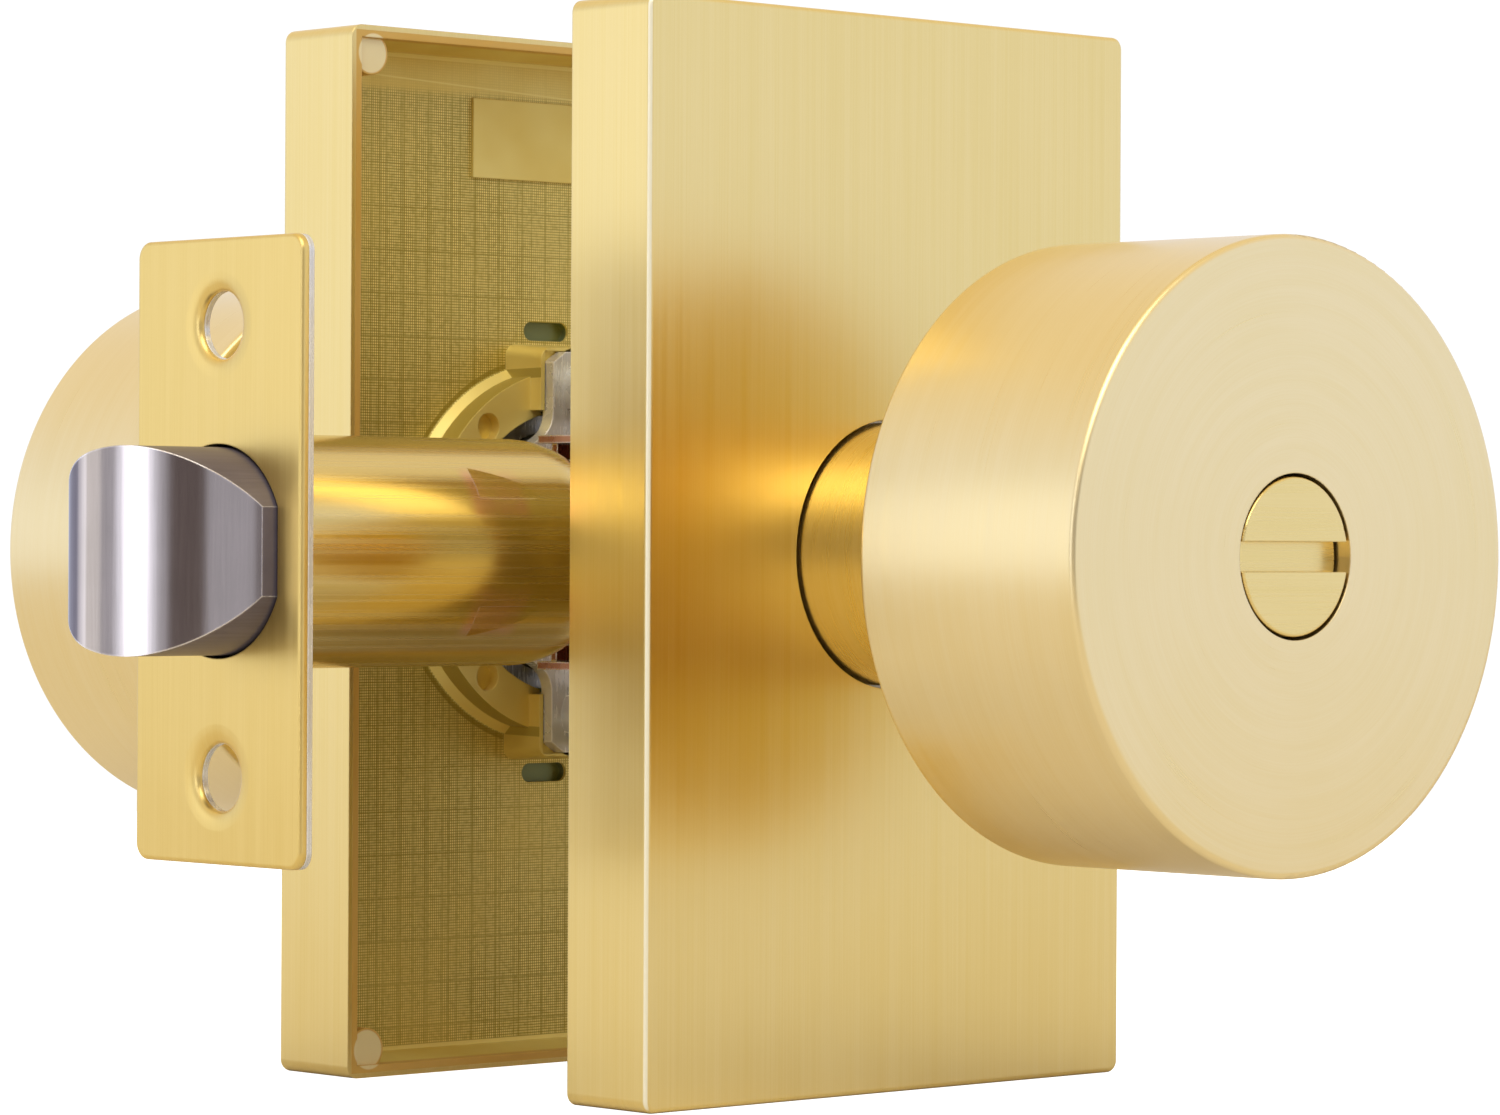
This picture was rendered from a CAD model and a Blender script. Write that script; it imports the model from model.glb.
"""A brushed brass privacy door knob set with a tubular latch: its finishes, studio and camera.

The set is drawn in metres in its own frame: X along the latch, Y along the knobs' axis, Z up.
Both sides of the door share one casting, so most places are given by their distance out from the
middle of the door, whichever side they are on.
"""

import math

import bpy
from mathutils import Matrix, Vector


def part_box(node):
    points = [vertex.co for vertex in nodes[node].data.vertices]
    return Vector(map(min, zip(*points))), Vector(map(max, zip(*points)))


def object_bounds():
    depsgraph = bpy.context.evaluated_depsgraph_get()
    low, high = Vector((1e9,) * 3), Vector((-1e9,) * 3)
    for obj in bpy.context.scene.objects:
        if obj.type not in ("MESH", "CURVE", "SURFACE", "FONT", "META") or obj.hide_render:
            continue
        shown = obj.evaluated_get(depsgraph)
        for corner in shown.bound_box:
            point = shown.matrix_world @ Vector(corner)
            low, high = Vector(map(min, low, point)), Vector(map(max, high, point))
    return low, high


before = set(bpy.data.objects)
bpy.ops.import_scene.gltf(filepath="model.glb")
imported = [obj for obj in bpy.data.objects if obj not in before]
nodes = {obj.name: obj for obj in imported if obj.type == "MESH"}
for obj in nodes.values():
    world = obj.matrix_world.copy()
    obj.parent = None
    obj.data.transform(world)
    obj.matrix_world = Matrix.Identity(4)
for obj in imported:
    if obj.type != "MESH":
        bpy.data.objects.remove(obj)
cad_low, cad_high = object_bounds()

MM = 0.001

# ---- Sizes read from the frame ----
rose_low, rose_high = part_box("exterior_rose")
rose_low, rose_high = Vector(rose_low), Vector(rose_high)
rim_out = rose_low.y
rose_face_out = rose_high.y
rose_half_width = rose_high.x
rose_half_height = rose_high.z
rose_floor_out = rose_face_out - 3.2 * MM
rose_wall = 1.6 * MM        # at the floor
boss_radius = 18.4 * MM
post_place = Vector((28.8, 0.0, 48.5)) * MM
soft_edge = 0.18 * MM       # how far worn edges catch the light
shiny_edge = 0.3 * MM       # how far handling has polished the edges
rim_inset = 0.5 * MM        # from the rose's outline to where its inside begins
casting_depth = 1.4 * MM    # past this below a rose's face, within its outline, it is raw casting
weave_end = 45.4 * MM       # height at which the woven floor gives way to a smooth strip
strip_start = 46.6 * MM


# ---- Small helpers for shader trees ----

def put(tree, kind, inputs=None, **settings):
    """Adds a node, sets its properties, and links or sets its inputs by name or number."""
    node = tree.nodes.new(kind)
    for name, value in settings.items():
        setattr(node, name, value)
    for key, value in (inputs or {}).items():
        socket = node.inputs[key]
        if isinstance(value, bpy.types.NodeSocket):
            tree.links.new(value, socket)
        else:
            socket.default_value = value
    return node


def calc(tree, operation, first, second=0.0):
    """One math node's output."""
    return put(tree, "ShaderNodeMath", {0: first, 1: second}, operation=operation).outputs[0]


def between(tree, value, start, end, low=0.0, high=1.0):
    """Rises smoothly from low to high as value goes from start to end."""
    node = put(tree, "ShaderNodeMapRange", {"Value": value, "From Min": start, "From Max": end,
                                            "To Min": low, "To Max": high}, interpolation_type="SMOOTHSTEP")
    return node.outputs["Result"]


def band(tree, value, low, high, soft):
    """1 between low and high, fading out over soft on either side."""
    rising = between(tree, value, low - soft, low)
    falling = between(tree, value, high + soft, high)
    return calc(tree, "MULTIPLY", rising, falling)


def blend(tree, amount, first, second):
    """Mixes two colours."""
    node = put(tree, "ShaderNodeMix", {"Factor": amount}, data_type="RGBA")
    for name, value in (("A", first), ("B", second)):
        socket = [s for s in node.inputs if s.name == name and s.type == "RGBA"][0]
        if isinstance(value, bpy.types.NodeSocket):
            tree.links.new(value, socket)
        else:
            socket.default_value = value
    return [s for s in node.outputs if s.type == "RGBA"][0]


def shader_group(name, inputs, outputs):
    """An empty node group, with its input and output nodes."""
    tree = bpy.data.node_groups.new(name, "ShaderNodeTree")
    for socket_name, kind, value in inputs:
        socket = tree.interface.new_socket(socket_name, in_out="INPUT", socket_type="NodeSocket" + kind)
        if value is not None:
            socket.default_value = value
    for socket_name, kind in outputs:
        tree.interface.new_socket(socket_name, in_out="OUTPUT", socket_type="NodeSocket" + kind)
    return tree, tree.nodes.new("NodeGroupInput"), tree.nodes.new("NodeGroupOutput")


def place_group(tree, group, inputs):
    """Uses a shared effect, with its inputs linked or set."""
    return put(tree, "ShaderNodeGroup", inputs, node_tree=group)


# ---- Effects that several finishes share ----

def make_brush_lines():
    """Fine parallel lines.  Place holds the distance across the grain in X and along it in Y and Z."""
    tree, given, result = shader_group(
        "brush_lines",
        [("Place", "Vector", None), ("Line Width", "Float", 0.0002), ("Line Length", "Float", 0.02)],
        [("Fine", "Float"), ("Broad", "Float")])
    width, length = given.outputs["Line Width"], given.outputs["Line Length"]
    for name, widen, detail in (("Fine", 1.0, 4.0), ("Broad", 9.0, 2.0)):
        spacing = put(tree, "ShaderNodeCombineXYZ", {"X": calc(tree, "MULTIPLY", width, widen),
                                                     "Y": length, "Z": length})
        stretched = put(tree, "ShaderNodeVectorMath", {0: given.outputs["Place"], 1: spacing.outputs[0]},
                        operation="DIVIDE")
        noise = put(tree, "ShaderNodeTexNoise", {"Vector": stretched.outputs[0], "Scale": 1.0,
                                                 "Detail": detail, "Roughness": 0.62})
        tree.links.new(noise.outputs[0], result.inputs[name])
    return tree


def make_round_place():
    """Turns a place into distance across and along a brush that ran round the knobs' axis."""
    tree, given, result = shader_group(
        "round_the_axis", [("Place", "Vector", None), ("Facing", "Vector", None)],
        [("Brushed", "Vector")])
    xyz = put(tree, "ShaderNodeSeparateXYZ", {0: given.outputs["Place"]})
    normal = put(tree, "ShaderNodeSeparateXYZ", {0: given.outputs["Facing"]})
    flat = put(tree, "ShaderNodeCombineXYZ", {"X": xyz.outputs["X"], "Z": xyz.outputs["Z"]})
    radius = put(tree, "ShaderNodeVectorMath", {0: flat.outputs[0]}, operation="LENGTH").outputs["Value"]
    way = put(tree, "ShaderNodeVectorMath", {0: flat.outputs[0]}, operation="NORMALIZE").outputs[0]
    way = put(tree, "ShaderNodeSeparateXYZ", {0: way})
    on_face = between(tree, calc(tree, "ABSOLUTE", normal.outputs["Y"]), 0.6, 0.8)
    across = put(tree, "ShaderNodeMix", {0: on_face, 2: xyz.outputs["Y"], 3: radius}, data_type="FLOAT")
    reach = 0.02
    brushed = put(tree, "ShaderNodeCombineXYZ", {"X": across.outputs[0],
                                                 "Y": calc(tree, "MULTIPLY", way.outputs["X"], reach),
                                                 "Z": calc(tree, "MULTIPLY", way.outputs["Z"], reach)})
    tree.links.new(brushed.outputs[0], result.inputs["Brushed"])
    return tree


def make_mottle():
    """Slow uneven tone, such as handling and plating leave."""
    tree, given, result = shader_group(
        "mottle", [("Place", "Vector", None), ("Size", "Float", 0.01)], [("Tone", "Float")])
    scale = calc(tree, "DIVIDE", 1.0, given.outputs["Size"])
    noise = put(tree, "ShaderNodeTexNoise", {"Vector": given.outputs["Place"], "Scale": scale,
                                             "Detail": 3.0, "Roughness": 0.5})
    tree.links.new(noise.outputs[0], result.inputs["Tone"])
    return tree


def make_woven_casting():
    """Fine woven relief cast into a rose's floor: small pillows between crossed dark lines.

    Some of the upright lines are wider, and the rows wander a little.
    """
    tree, given, result = shader_group(
        "woven_casting", [("Place", "Vector", None), ("Pitch", "Float", 0.00027)],
        [("Relief", "Float"), ("Dark Lines", "Float")])
    wander = put(tree, "ShaderNodeTexNoise", {"Vector": given.outputs["Place"], "Scale": 450.0,
                                              "Detail": 2.0})
    wander = put(tree, "ShaderNodeVectorMath", {0: wander.outputs["Color"], 1: (0.00005, 0.0, 0.00005)},
                 operation="MULTIPLY")
    place = put(tree, "ShaderNodeVectorMath", {0: given.outputs["Place"], 1: wander.outputs[0]},
                operation="ADD")
    xyz = put(tree, "ShaderNodeSeparateXYZ", {0: place.outputs[0]})
    waves = []
    for axis in ("X", "Z"):
        turns = calc(tree, "DIVIDE", xyz.outputs[axis], given.outputs["Pitch"])
        waves.append(calc(tree, "ABSOLUTE", calc(tree, "SINE", calc(tree, "MULTIPLY", turns, math.pi))))
    relief = calc(tree, "MULTIPLY", between(tree, waves[0], 0.1, 0.75), between(tree, waves[1], 0.1, 0.75))
    uneven = put(tree, "ShaderNodeTexNoise", {"Vector": given.outputs["Place"], "Scale": 1800.0,
                                              "Detail": 2.0})
    relief = calc(tree, "MULTIPLY", relief, between(tree, uneven.outputs[0], 0.25, 0.6, 0.6, 1.0))
    tree.links.new(relief, result.inputs["Relief"])
    lines = []
    for axis, gap, share in (("X", 0.0031, 0.90), ("X", 0.0019, 0.92), ("Z", 0.0043, 0.96)):
        spot = calc(tree, "FRACT", calc(tree, "DIVIDE", xyz.outputs[axis], gap))
        lines.append(between(tree, spot, share, 1.0 - 0.4 * (1.0 - share)))
    total = calc(tree, "MAXIMUM", calc(tree, "MAXIMUM", lines[0], lines[1]), lines[2])
    tree.links.new(total, result.inputs["Dark Lines"])
    return tree


BRUSH_LINES = make_brush_lines()
ROUND_THE_AXIS = make_round_place()
MOTTLE = make_mottle()
WOVEN_CASTING = make_woven_casting()


# ---- Finishes ----

BRASS_PALE = (0.93, 0.745, 0.315, 1.0)
BRASS_DEEP = (0.89, 0.69, 0.255, 1.0)
KNOB_PALE = (0.96, 0.80, 0.44, 1.0)
KNOB_DEEP = (0.93, 0.75, 0.36, 1.0)
NECK_PALE = (0.91, 0.72, 0.31, 1.0)
NECK_DEEP = (0.86, 0.65, 0.23, 1.0)
RING_PALE = (0.80, 0.61, 0.10, 1.0)
RING_DEEP = (0.73, 0.53, 0.06, 1.0)
RUST_GOLD = (0.72, 0.38, 0.07, 1.0)
EDGE_WHITE = (1.0, 0.94, 0.68, 1.0)
POST_PALE = (0.98, 0.84, 0.46, 1.0)
FACEPLATE_PALE = (0.90, 0.68, 0.235, 1.0)
FACEPLATE_DEEP = (0.84, 0.61, 0.185, 1.0)
RAW_PALE = (0.95, 0.80, 0.27, 1.0)
RAW_GOLD = (0.84, 0.64, 0.15, 1.0)
RAW_DARK = (0.36, 0.27, 0.03, 1.0)
SLOT_OLIVE = (0.22, 0.25, 0.10, 1.0)
TUBE_DARK = (0.60, 0.42, 0.10, 1.0)
TUBE_PALE = (0.82, 0.66, 0.28, 1.0)
TUBE_GLINT = (0.86, 0.75, 0.42, 1.0)
TUBE_PINK = (0.86, 0.50, 0.36, 1.0)
BEVEL_DEEP = (0.70, 0.62, 0.53, 1.0)
BEVEL_PALE = (0.76, 0.67, 0.58, 1.0)
SIDE_DEEP = (0.115, 0.10, 0.12, 1.0)
SIDE_PALE = (0.15, 0.13, 0.155, 1.0)
NICKEL_EDGE = (1.0, 0.95, 0.9, 1.0)
PLATED_EDGE = (1.0, 0.97, 0.9, 1.0)
STUDIO_WHITE = (1.05, 1.05, 1.05, 1.0)


def new_finish(name, **shader_values):
    """A material with one metal shader, ready for its colours to be linked."""
    material = bpy.data.materials.new(name)
    material.use_nodes = True
    tree = material.node_tree
    tree.nodes.clear()
    values = {"Metallic": 1.0}
    values.update({key.replace("_", " "): value for key, value in shader_values.items()})
    shader = put(tree, "ShaderNodeBsdfPrincipled", values)
    output = put(tree, "ShaderNodeOutputMaterial", {"Surface": shader.outputs[0]})
    output.target = "ALL"
    spot = put(tree, "ShaderNodeTexCoord")
    return material, tree, shader, spot


def bump(tree, height, strength, depth):
    """Raised detail on a surface whose sharp edges are worn slightly round."""
    worn = put(tree, "ShaderNodeBevel", {"Radius": soft_edge}, samples=4)
    return put(tree, "ShaderNodeBump", {"Height": height, "Strength": strength, "Distance": depth,
                                        "Normal": worn.outputs[0]}).outputs[0]


def edge_shine(tree, reach):
    """1 along sharp edges, where handling has polished them, and 0 on the faces between."""
    worn = put(tree, "ShaderNodeBevel", {"Radius": reach}, samples=6)
    real = put(tree, "ShaderNodeNewGeometry")
    turn = put(tree, "ShaderNodeVectorMath", {0: worn.outputs[0], 1: real.outputs["Normal"]},
               operation="DOT_PRODUCT")
    return between(tree, turn.outputs["Value"], 0.995, 0.93)


def finish_colours(tree, shader, lines, tone, pale, deep, roughness, spread):
    """Links brushed colour and roughness: lines catch light, tone drifts slowly."""
    amount = calc(tree, "ADD", calc(tree, "MULTIPLY", lines.outputs["Fine"], 0.55),
                  calc(tree, "MULTIPLY", lines.outputs["Broad"], 0.45))
    amount = calc(tree, "ADD", calc(tree, "MULTIPLY", amount, 0.75), calc(tree, "MULTIPLY", tone, 0.25))
    amount = between(tree, amount, 0.34, 0.66)
    tree.links.new(blend(tree, amount, deep, pale), shader.inputs["Base Color"])
    rough = calc(tree, "ADD", roughness - spread / 2, calc(tree, "MULTIPLY", amount, spread))
    tree.links.new(rough, shader.inputs["Roughness"])


def straight_brushed(name, across, pale, deep, roughness=0.33, line=0.00016):
    """Metal brushed in one direction; across is the axis that the lines are spaced along."""
    material, tree, shader, spot = new_finish(name)
    xyz = put(tree, "ShaderNodeSeparateXYZ", {0: spot.outputs["Object"]})
    others = [axis for axis in "XYZ" if axis != across]
    place = put(tree, "ShaderNodeCombineXYZ", {"X": xyz.outputs[across], "Y": xyz.outputs[others[0]],
                                               "Z": xyz.outputs[others[1]]})
    lines = place_group(tree, BRUSH_LINES, {"Place": place.outputs[0], "Line Width": line,
                                            "Line Length": 0.03})
    mottle = place_group(tree, MOTTLE, {"Place": spot.outputs["Object"], "Size": 0.02})
    finish_colours(tree, shader, lines, mottle.outputs["Tone"], pale, deep, roughness, 0.1)
    tree.links.new(bump(tree, lines.outputs["Fine"], 0.25, 0.00002), shader.inputs["Normal"])
    return material


def round_brushed(name, pale, deep, roughness=0.32, line=0.00014):
    """Metal brushed round the knobs' axis, on the flat faces as well as round the side."""
    material, tree, shader, spot = new_finish(name)
    around = place_group(tree, ROUND_THE_AXIS, {"Place": spot.outputs["Object"],
                                                "Facing": spot.outputs["Normal"]})
    lines = place_group(tree, BRUSH_LINES, {"Place": around.outputs["Brushed"], "Line Width": line,
                                            "Line Length": 0.02})
    mottle = place_group(tree, MOTTLE, {"Place": spot.outputs["Object"], "Size": 0.02})
    finish_colours(tree, shader, lines, mottle.outputs["Tone"], pale, deep, roughness, 0.1)
    tree.links.new(bump(tree, lines.outputs["Fine"], 0.25, 0.00002), shader.inputs["Normal"])
    return material


def rose_brass():
    """Brushed outside; inside, a raw casting with a woven floor, dark slots and a smooth boss."""
    material, tree, shader, spot = new_finish("rose_brass")
    xyz = put(tree, "ShaderNodeSeparateXYZ", {0: spot.outputs["Object"]})
    normal = put(tree, "ShaderNodeSeparateXYZ", {0: spot.outputs["Normal"]})
    wide = calc(tree, "ABSOLUTE", xyz.outputs["X"])
    high = calc(tree, "ABSOLUTE", xyz.outputs["Z"])
    out = calc(tree, "ABSOLUTE", xyz.outputs["Y"])
    flat = put(tree, "ShaderNodeCombineXYZ", {"X": xyz.outputs["X"], "Z": xyz.outputs["Z"]})
    radius = put(tree, "ShaderNodeVectorMath", {0: flat.outputs[0]}, operation="LENGTH").outputs["Value"]
    within = calc(tree, "MULTIPLY", calc(tree, "LESS_THAN", wide, rose_half_width - rim_inset),
                  calc(tree, "LESS_THAN", high, rose_half_height - rim_inset))
    inside = calc(tree, "MULTIPLY", within, calc(tree, "LESS_THAN", out, rose_face_out - casting_depth))
    place = put(tree, "ShaderNodeCombineXYZ", {"X": calc(tree, "ADD", xyz.outputs["X"], xyz.outputs["Y"]),
                                               "Y": xyz.outputs["Z"], "Z": xyz.outputs["Y"]})
    lines = place_group(tree, BRUSH_LINES, {"Place": place.outputs[0], "Line Width": 0.00012,
                                            "Line Length": 0.05})
    mottle = place_group(tree, MOTTLE, {"Place": spot.outputs["Object"], "Size": 0.018})
    amount = calc(tree, "ADD", calc(tree, "MULTIPLY", lines.outputs["Fine"], 0.5),
                  calc(tree, "MULTIPLY", lines.outputs["Broad"], 0.3))
    amount = calc(tree, "ADD", amount, calc(tree, "MULTIPLY", mottle.outputs["Tone"], 0.2))
    amount = between(tree, amount, 0.34, 0.66)
    outside_colour = blend(tree, amount, BRASS_DEEP, BRASS_PALE)

    facing = calc(tree, "GREATER_THAN", calc(tree, "ABSOLUTE", normal.outputs["Y"]), 0.7)
    on_floor = calc(tree, "MULTIPLY", facing, band(tree, out, rose_floor_out - 0.1 * MM,
                                                   rose_floor_out + 0.1 * MM, 0.05 * MM))
    below_strip = between(tree, xyz.outputs["Z"], strip_start, weave_end, 0.15, 1.0)
    woven_part = calc(tree, "MULTIPLY", on_floor, below_strip)
    woven_part = calc(tree, "MULTIPLY", woven_part, between(tree, mottle.outputs["Tone"], 0.3, 0.6, 0.7, 1.0))
    weave = place_group(tree, WOVEN_CASTING, {"Place": spot.outputs["Object"]})
    woven_colour = blend(tree, weave.outputs["Relief"], RAW_DARK, RAW_PALE)
    dark_lines = calc(tree, "MULTIPLY", weave.outputs["Dark Lines"], 0.55)
    woven_colour = blend(tree, dark_lines, woven_colour, RAW_DARK)
    smooth_colour = blend(tree, between(tree, mottle.outputs["Tone"], 0.35, 0.65), RAW_GOLD, RAW_PALE)
    inside_colour = blend(tree, woven_part, smooth_colour, woven_colour)
    floor_edge = rose_half_height - rose_wall
    wall_foot = band(tree, high, floor_edge - 0.35 * MM, floor_edge, 0.1 * MM)
    wall_foot = calc(tree, "MULTIPLY", on_floor, wall_foot)
    inside_colour = blend(tree, wall_foot, inside_colour, RAW_PALE)
    boss_foot = calc(tree, "MULTIPLY", on_floor, band(tree, radius, boss_radius + 0.9 * MM,
                                                      boss_radius + 1.3 * MM, 0.15 * MM))
    inside_colour = blend(tree, calc(tree, "MULTIPLY", boss_foot, 0.7), inside_colour, RAW_DARK)
    slant = calc(tree, "ADD", xyz.outputs["Z"], calc(tree, "MULTIPLY", xyz.outputs["X"], 0.04))
    scratch = calc(tree, "MULTIPLY", band(tree, slant, 46.35 * MM, 46.45 * MM, 0.06 * MM),
                   band(tree, xyz.outputs["X"], -21.0 * MM, 4.0 * MM, 3.0 * MM))
    scratch = calc(tree, "MULTIPLY", scratch, on_floor)
    inside_colour = blend(tree, calc(tree, "MULTIPLY", scratch, 0.8), inside_colour, RAW_PALE)
    steep = calc(tree, "LESS_THAN", calc(tree, "ABSOLUTE", normal.outputs["Y"]), 0.3)
    boss_side = band(tree, radius, boss_radius - 0.1 * MM, boss_radius + 0.8 * MM, 0.05 * MM)
    boss_side = calc(tree, "MULTIPLY", boss_side, steep)
    inside_colour = blend(tree, calc(tree, "MULTIPLY", boss_side, 0.65), inside_colour, RAW_DARK)
    from_post_x = calc(tree, "SUBTRACT", wide, post_place.x)
    from_post_z = calc(tree, "SUBTRACT", high, post_place.z)
    from_post = calc(tree, "SQRT", calc(tree, "ADD", calc(tree, "MULTIPLY", from_post_x, from_post_x),
                                        calc(tree, "MULTIPLY", from_post_z, from_post_z)))
    post_ring = band(tree, from_post, 1.95 * MM, 2.3 * MM, 0.12 * MM)
    rim_depth = calc(tree, "SUBTRACT", out, rim_out)
    by_rim = between(tree, rim_depth, 1.6 * MM, 0.5 * MM)
    orange = calc(tree, "MULTIPLY", calc(tree, "MAXIMUM", post_ring, by_rim), 0.7)
    post_top = calc(tree, "MULTIPLY", between(tree, from_post, 2.0 * MM, 1.8 * MM), facing)
    inside_colour = blend(tree, orange, inside_colour, RUST_GOLD)
    inside_colour = blend(tree, post_top, inside_colour, POST_PALE)
    sunk = calc(tree, "GREATER_THAN", out, rose_floor_out + 0.3 * MM)
    inside_colour = blend(tree, sunk, inside_colour, SLOT_OLIVE)
    slanted = calc(tree, "MULTIPLY", calc(tree, "ABSOLUTE", normal.outputs["X"]),
                   calc(tree, "ABSOLUTE", normal.outputs["Y"]))
    polished = calc(tree, "MULTIPLY", between(tree, slanted, 0.25, 0.42), calc(tree, "SUBTRACT", 1.0, inside))
    outside_colour = blend(tree, polished, outside_colour, EDGE_WHITE)
    tree.links.new(blend(tree, inside, outside_colour, inside_colour), shader.inputs["Base Color"])

    rough_out = calc(tree, "ADD", 0.29, calc(tree, "MULTIPLY", amount, 0.08))
    rough = put(tree, "ShaderNodeMix", {0: inside, 2: rough_out, 3: 0.46}, data_type="FLOAT")
    tree.links.new(rough.outputs[0], shader.inputs["Roughness"])
    bare = calc(tree, "SUBTRACT", 1.0, calc(tree, "MULTIPLY", inside, 0.5))
    bare = calc(tree, "SUBTRACT", bare, calc(tree, "MULTIPLY", polished, 0.8))
    tree.links.new(bare, shader.inputs["Metallic"])
    relief = calc(tree, "MULTIPLY", weave.outputs["Relief"], woven_part)
    height = put(tree, "ShaderNodeMix", {0: inside, 2: lines.outputs["Fine"], 3: relief}, data_type="FLOAT")
    tree.links.new(bump(tree, height.outputs[0], 0.25, 0.00002), shader.inputs["Normal"])
    return material


def plated(name, pale, deep, roughness, size=0.004, metallic=1.0):
    """Plated or rolled metal with an uneven tone, fine scratches and shiny edges."""
    material, tree, shader, spot = new_finish(name, Metallic=metallic)
    mottle = place_group(tree, MOTTLE, {"Place": spot.outputs["Object"], "Size": size})
    lines = place_group(tree, BRUSH_LINES, {"Place": spot.outputs["Object"], "Line Width": 0.0003,
                                            "Line Length": 0.004})
    finish_colours(tree, shader, lines, mottle.outputs["Tone"], pale, deep, roughness, 0.12)
    plain = shader.inputs["Base Color"].links[0].from_socket
    shiny = blend(tree, edge_shine(tree, shiny_edge), plain, PLATED_EDGE)
    tree.links.new(shiny, shader.inputs["Base Color"])
    tree.links.new(bump(tree, lines.outputs["Fine"], 0.15, 0.00001), shader.inputs["Normal"])
    return material


def drawn_tube_brass():
    """Bright drawn brass: streaks along the tube, rainbow-pink where it was pressed in."""
    material, tree, shader, spot = new_finish("drawn_tube_brass")
    xyz = put(tree, "ShaderNodeSeparateXYZ", {0: spot.outputs["Object"]})
    place = put(tree, "ShaderNodeCombineXYZ", {"X": xyz.outputs["Z"], "Y": xyz.outputs["X"],
                                               "Z": xyz.outputs["Y"]})
    lines = place_group(tree, BRUSH_LINES, {"Place": place.outputs[0], "Line Width": 0.0006,
                                            "Line Length": 0.3})
    mottle = place_group(tree, MOTTLE, {"Place": spot.outputs["Object"], "Size": 0.006})
    streak = between(tree, lines.outputs["Broad"], 0.36, 0.62)
    fine = between(tree, lines.outputs["Fine"], 0.36, 0.64)
    colour = blend(tree, streak, TUBE_DARK, TUBE_PALE)
    colour = blend(tree, calc(tree, "MULTIPLY", fine, 0.35), colour, TUBE_GLINT)
    pressed = calc(tree, "MULTIPLY", band(tree, xyz.outputs["X"], -37.0 * MM, -32.0 * MM, 1.5 * MM),
                   band(tree, calc(tree, "ABSOLUTE", xyz.outputs["Z"]), 4.0 * MM, 7.0 * MM, 1.2 * MM))
    pressed = calc(tree, "MULTIPLY", pressed, between(tree, mottle.outputs["Tone"], 0.3, 0.65, 0.1, 0.8))
    colour = blend(tree, pressed, colour, TUBE_PINK)
    tree.links.new(colour, shader.inputs["Base Color"])
    rough = calc(tree, "ADD", 0.2, calc(tree, "MULTIPLY", fine, 0.1))
    tree.links.new(rough, shader.inputs["Roughness"])
    tree.links.new(bump(tree, lines.outputs["Fine"], 0.12, 0.00001), shader.inputs["Normal"])
    return material


def polished_nickel():
    """The latch bolt: a polished bevel with bright edges, a nose dulled by the strike, dark sides."""
    material, tree, shader, spot = new_finish("polished_nickel")
    mottle = place_group(tree, MOTTLE, {"Place": spot.outputs["Object"], "Size": 0.006})
    xyz = put(tree, "ShaderNodeSeparateXYZ", {0: spot.outputs["Object"]})
    place = put(tree, "ShaderNodeCombineXYZ", {"X": xyz.outputs["Y"], "Y": xyz.outputs["Z"],
                                               "Z": xyz.outputs["X"]})
    lines = place_group(tree, BRUSH_LINES, {"Place": place.outputs[0], "Line Width": 0.0002,
                                            "Line Length": 0.01})
    tone = calc(tree, "ADD", calc(tree, "MULTIPLY", lines.outputs["Fine"], 0.6),
                calc(tree, "MULTIPLY", mottle.outputs["Tone"], 0.4))
    bevel_colour = blend(tree, between(tree, tone, 0.35, 0.65), BEVEL_DEEP, BEVEL_PALE)
    side_colour = blend(tree, between(tree, tone, 0.35, 0.65), SIDE_DEEP, SIDE_PALE)
    facing = put(tree, "ShaderNodeSeparateXYZ", {0: spot.outputs["Normal"]})
    on_side = between(tree, facing.outputs["X"], -0.15, -0.05)
    on_nose = between(tree, facing.outputs["Y"], -0.3, 0.1)
    colour = blend(tree, calc(tree, "MULTIPLY", on_nose, 0.85), bevel_colour, side_colour)
    colour = blend(tree, on_side, colour, side_colour)
    colour = blend(tree, edge_shine(tree, shiny_edge), colour, NICKEL_EDGE)
    tree.links.new(colour, shader.inputs["Base Color"])
    tree.links.new(between(tree, on_side, 0.0, 1.0, 1.0, 0.15), shader.inputs["Metallic"])
    rough = calc(tree, "ADD", 0.09, calc(tree, "MULTIPLY", tone, 0.05))
    rough = calc(tree, "ADD", rough, calc(tree, "MULTIPLY", on_side, 0.25))
    tree.links.new(rough, shader.inputs["Roughness"])
    tree.links.new(bump(tree, lines.outputs["Fine"], 0.05, 0.00001), shader.inputs["Normal"])
    return material


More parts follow.
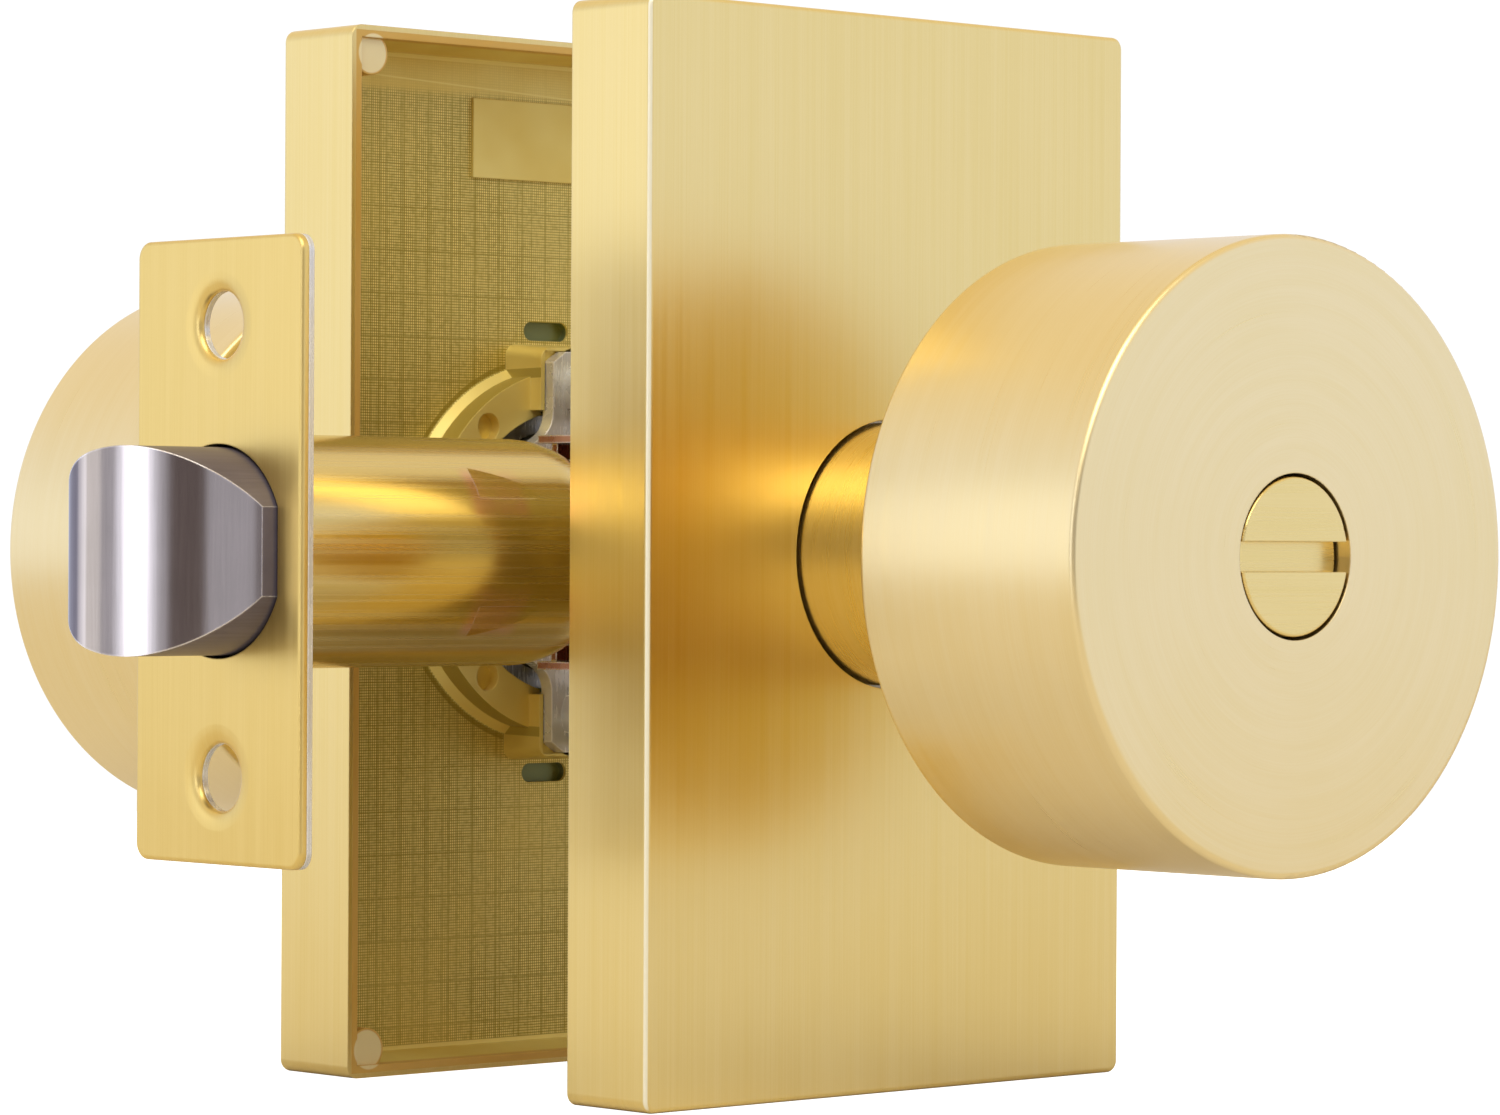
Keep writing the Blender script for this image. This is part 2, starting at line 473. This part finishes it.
def finish_every_node():
    """Makes each finish once and puts it on the nodes that wear it."""
    finishes = {
        "rose": rose_brass(),
        "knob": round_brushed("brass_brushed_round", KNOB_PALE, KNOB_DEEP),
        "neck": round_brushed("neck_brass", NECK_PALE, NECK_DEEP, 0.3),
        "knob_back": round_brushed("knob_back_brass", RING_PALE, RING_DEEP, 0.3),
        "button": straight_brushed("button_brass", "Z", BRASS_PALE, BRASS_DEEP, 0.28),
        "faceplate": straight_brushed("faceplate_brass", "Y", FACEPLATE_PALE, FACEPLATE_DEEP),
        "tube": drawn_tube_brass(),
        "bolt": polished_nickel(),
        "steel": plated("zinc_plated_steel", (0.80, 0.79, 0.72, 1.0), (0.66, 0.65, 0.60, 1.0), 0.26,
                        metallic=0.5),
        "copper": plated("copper_plated_steel", (0.62, 0.33, 0.18, 1.0), (0.45, 0.2, 0.1, 1.0), 0.28),
        "spring": plated("oiled_spring_steel", (0.2, 0.2, 0.2, 1.0), (0.08, 0.08, 0.08, 1.0), 0.35),
    }
    wearing = {
        "rose": ["exterior_rose", "interior_rose"],
        "knob": ["exterior_knob_shell", "interior_knob_shell", "release_plug"],
        "neck": ["exterior_neck", "interior_neck"],
        "knob_back": ["exterior_knob_back", "interior_knob_back"],
        "button": ["turn_button"],
        "faceplate": ["faceplate"],
        "tube": ["latch_tube"],
        "bolt": ["latch_bolt"],
        "steel": ["exterior_mounting_plate", "interior_mounting_plate", "threaded_posts", "through_bolts",
                  "exterior_thrust_washer", "interior_thrust_washer", "spindle", "lock_bar", "lock_slider",
                  "backing_plate", "spring_seat", "latch_tail", "latch_hub"],
        "copper": ["latch_case", "retractor_fork"],
        "spring": ["exterior_return_spring", "interior_return_spring", "exterior_circlip", "interior_circlip",
                   "neck_grub_screw", "button_clip", "latch_spring"],
    }
    for finish, names in wearing.items():
        for name in names:
            nodes[name].data.materials.clear()
            nodes[name].data.materials.append(finishes[finish])


# ---- Studio ----

def lay_floor():
    """A plain pale floor that the roses stand on."""
    reach = 0.45
    level = cad_low.z
    mesh = bpy.data.meshes.new("studio_floor")
    corners = [(-reach, -reach, level), (reach, -reach, level), (reach, reach, level), (-reach, reach, level)]
    mesh.from_pydata(corners, [], [(0, 1, 2, 3)])
    floor = bpy.data.objects.new("studio_floor", mesh)
    bpy.context.scene.collection.objects.link(floor)
    material = bpy.data.materials.new("pale_floor")
    material.use_nodes = True
    tree = material.node_tree
    tree.nodes.clear()
    rays = put(tree, "ShaderNodeLightPath")
    shader = put(tree, "ShaderNodeBsdfPrincipled", {"Base Color": (0.72, 0.70, 0.66, 1.0), "Roughness": 0.9,
                                                    "Specular IOR Level": 0.0,
                                                    "Emission Strength": rays.outputs["Is Camera Ray"],
                                                    "Emission Color": STUDIO_WHITE})
    put(tree, "ShaderNodeOutputMaterial", {"Surface": shader.outputs[0]})
    mesh.materials.append(material)


def light_room():
    """A bright room, warmer overhead, with dark screens and a lit gap before the latch's corner."""
    world = bpy.data.worlds.new("studio")
    bpy.context.scene.world = world
    world.use_nodes = True
    tree = world.node_tree
    tree.nodes.clear()
    way = put(tree, "ShaderNodeTexCoord").outputs["Generated"]
    xyz = put(tree, "ShaderNodeSeparateXYZ", {0: way})
    height = calc(tree, "ABSOLUTE", xyz.outputs["Z"])
    wall_white = (0.84, 0.89, 1.12, 1.0)
    ceiling_warm = (0.86, 0.74, 0.56, 1.0)
    dark_grey = (0.12, 0.10, 0.11, 1.0)
    turn = calc(tree, "ARCTAN2", xyz.outputs["Y"], xyz.outputs["X"])
    turn = calc(tree, "MULTIPLY", turn, 180 / math.pi)
    dim = calc(tree, "MULTIPLY", band(tree, turn, -156.0, -98.0, 4.0), 0.6)
    screens = ((-143.0, 7.0, 9.0, 1.0), (-102.0, 5.0, 8.0, 0.9), (168.0, 10.0, 8.0, 0.6))
    for middle, half, soft, amount in screens:
        flag = calc(tree, "MULTIPLY", band(tree, turn, middle - half, middle + half, soft), amount)
        dim = calc(tree, "MAXIMUM", dim, flag)
    low_down = between(tree, height, 0.6, 0.35)
    dim = calc(tree, "MULTIPLY", dim, low_down)
    lit = calc(tree, "MULTIPLY", band(tree, turn, -172.0, -166.0, 6.0), low_down)
    colour = blend(tree, dim, wall_white, dark_grey)
    colour = blend(tree, between(tree, height, 0.15, 0.85), colour, ceiling_warm)
    brighter = calc(tree, "ADD", 1.0, calc(tree, "MULTIPLY", lit, 1.5))
    rays = put(tree, "ShaderNodeLightPath")
    seen = blend(tree, rays.outputs["Is Camera Ray"], colour, STUDIO_WHITE)
    strength = put(tree, "ShaderNodeMix", {0: rays.outputs["Is Camera Ray"], 2: brighter, 3: 1.0},
                   data_type="FLOAT")
    shade = put(tree, "ShaderNodeBackground", {"Color": seen, "Strength": strength.outputs[0]})
    put(tree, "ShaderNodeOutputWorld", {"Surface": shade.outputs[0]})


def hang_light(name, place, target, width, height, power):
    """A soft rectangular light aimed at a point."""
    data = bpy.data.lights.new(name, "AREA")
    data.shape = "RECTANGLE"
    data.size = width
    data.size_y = height
    data.energy = power
    light = bpy.data.objects.new(name, data)
    light.location = place
    aim = Vector(target) - Vector(place)
    light.rotation_euler = aim.to_track_quat("-Z", "Y").to_euler()
    bpy.context.scene.collection.objects.link(light)


def light_set():
    """Two soft lights on the latch's side: one level with it and one high up."""
    hang_light("softbox_left", (-0.9, 0.5, 0.0), (0, 0, 0), 0.8, 0.7, 0.6)
    hang_light("softbox_high", (-0.5, -0.5, 0.9), (0, 0, 0), 0.8, 0.8, 5.0)


def set_camera():
    """A level long lens looking along the door's face from the latch and interior side."""
    place = Vector((-359.793, -392.537, 0.696)) * MM
    heading = math.radians(43.01434)
    tilt = math.radians(-0.119564)
    roll = math.radians(0.284277)
    look = Vector((math.sin(heading) * math.cos(tilt), math.cos(heading) * math.cos(tilt), math.sin(tilt)))
    level_right = look.cross(Vector((0, 0, 1))).normalized()
    level_up = level_right.cross(look)
    right = math.cos(roll) * level_right + math.sin(roll) * level_up
    up = math.cos(roll) * level_up - math.sin(roll) * level_right
    data = bpy.data.cameras.new("camera")
    data.sensor_width = 36.0
    data.lens = 129.406
    data.clip_start = 0.01
    camera = bpy.data.objects.new("camera", data)
    turn = Matrix((right, up, -look)).transposed()
    camera.matrix_world = Matrix.Translation(place) @ turn.to_4x4()
    bpy.context.scene.collection.objects.link(camera)
    bpy.context.scene.camera = camera
    bpy.context.scene.view_settings.view_transform = "Standard"


finish_every_node()
lay_floor()
light_room()
light_set()
set_camera()
